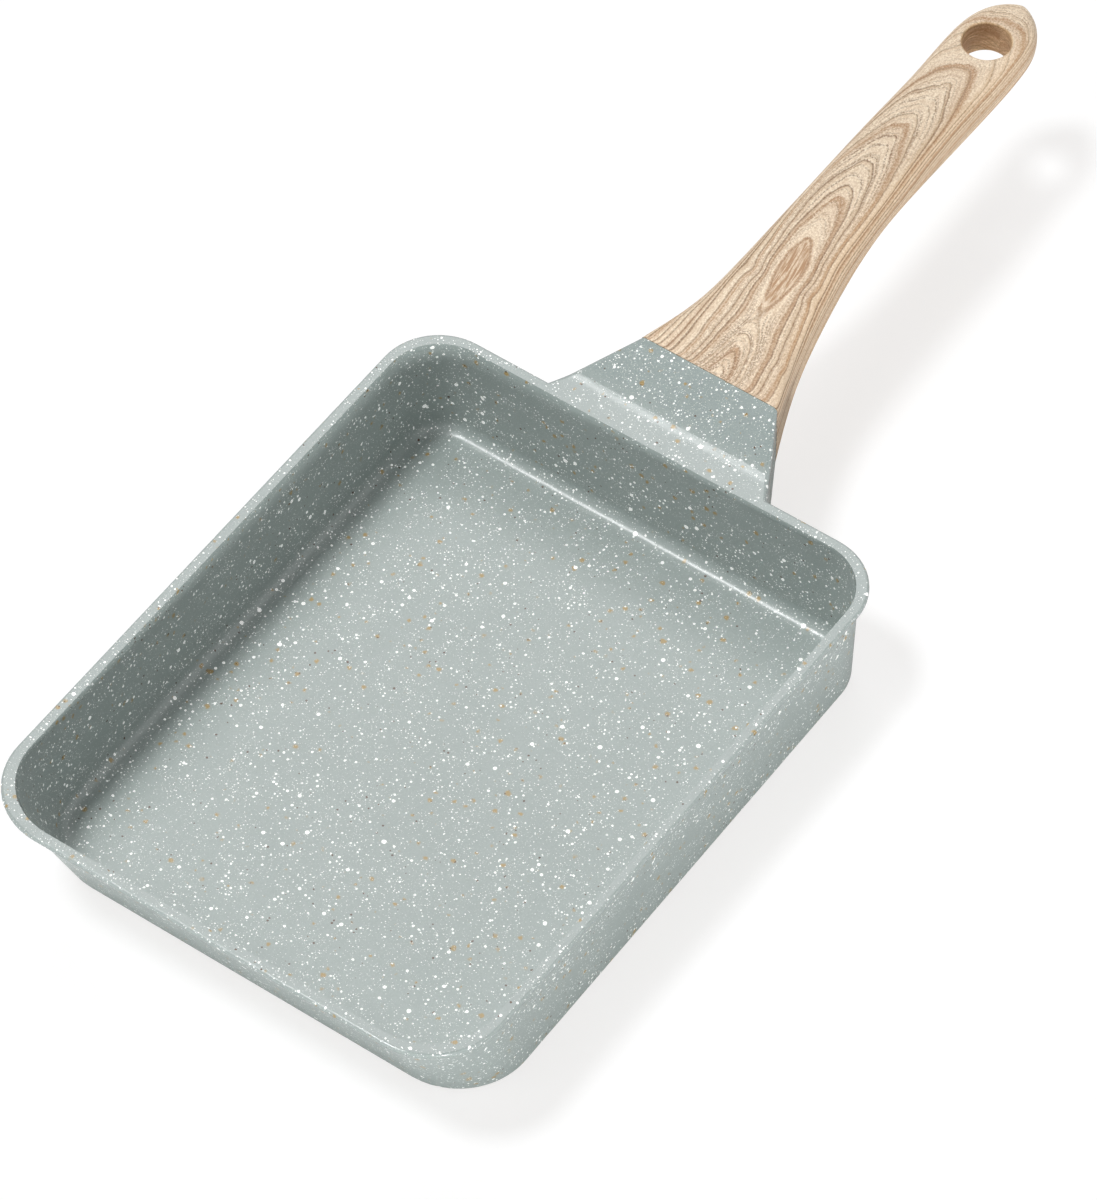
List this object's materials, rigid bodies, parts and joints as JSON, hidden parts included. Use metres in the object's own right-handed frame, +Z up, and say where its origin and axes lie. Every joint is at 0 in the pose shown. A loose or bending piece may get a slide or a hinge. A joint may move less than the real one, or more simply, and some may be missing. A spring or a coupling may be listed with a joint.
{
  "type": "tamagoyaki pan",
  "caption": "Rectangular rolled-omelette pan with a sloped front wall, a speckled stone-look coating, and a flared wood-effect handle with a hanging hole.",
  "frame": {"origin": "middle of the flat underside that the pan stands on", "axes": "+X runs from the tray along the handle to its end, +Z is up, and +Y completes a right-handed frame; the XZ plane is the plane of symmetry"},
  "size_m": [0.3709, 0.1504, 0.0547],
  "materials": {
    "coating": "pale grey-green non-stick coating on cast aluminium, satin, with white, tan and dark specks",
    "induction_steel": "satin magnetic stainless steel",
    "wood_effect": "phenolic moulding with a printed ash-wood grain, satin",
    "screw_steel": "plain stainless steel"
  },
  "bodies": {
    "root": {"pan_body": "coating", "induction_plate": "induction_steel", "handle": "wood_effect", "handle_screw": "screw_steel", "lock_washer": "screw_steel", "flat_washer": "screw_steel"}
  },
  "joints": []
}
